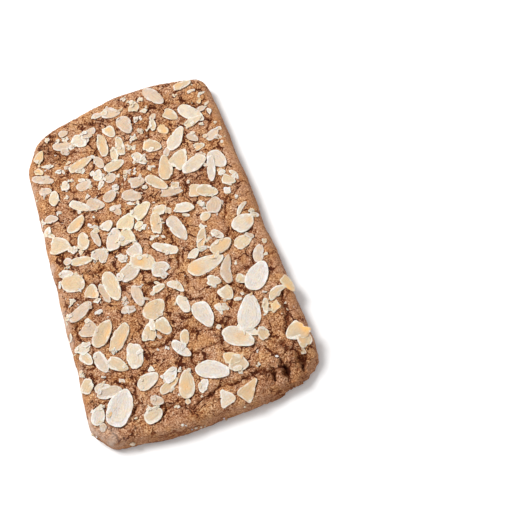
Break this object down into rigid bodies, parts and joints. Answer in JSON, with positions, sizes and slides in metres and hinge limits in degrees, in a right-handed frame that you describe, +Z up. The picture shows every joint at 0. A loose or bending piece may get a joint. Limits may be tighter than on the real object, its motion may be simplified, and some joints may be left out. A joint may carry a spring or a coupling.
{
  "type": "speculoos cookie",
  "caption": "Thick flat slab of crumbly spiced biscuit, rounded at the edges, its top covered in flaked almonds.",
  "frame": {"origin": "on the surface that the cookie lies on, under the middle of its box", "axes": "+Z up through the cookie's thickness, +Y along its length towards the end with the more rounded corner, +X to the right of that"},
  "size_m": [0.1176, 0.2062, 0.0156],
  "materials": {
    "baked_dough": "matte, crumbly baked crust",
    "almond": "smooth cut almond, partly toasted"
  },
  "bodies": {
    "root": {"cookie": "baked_dough"}
  },
  "joints": []
}
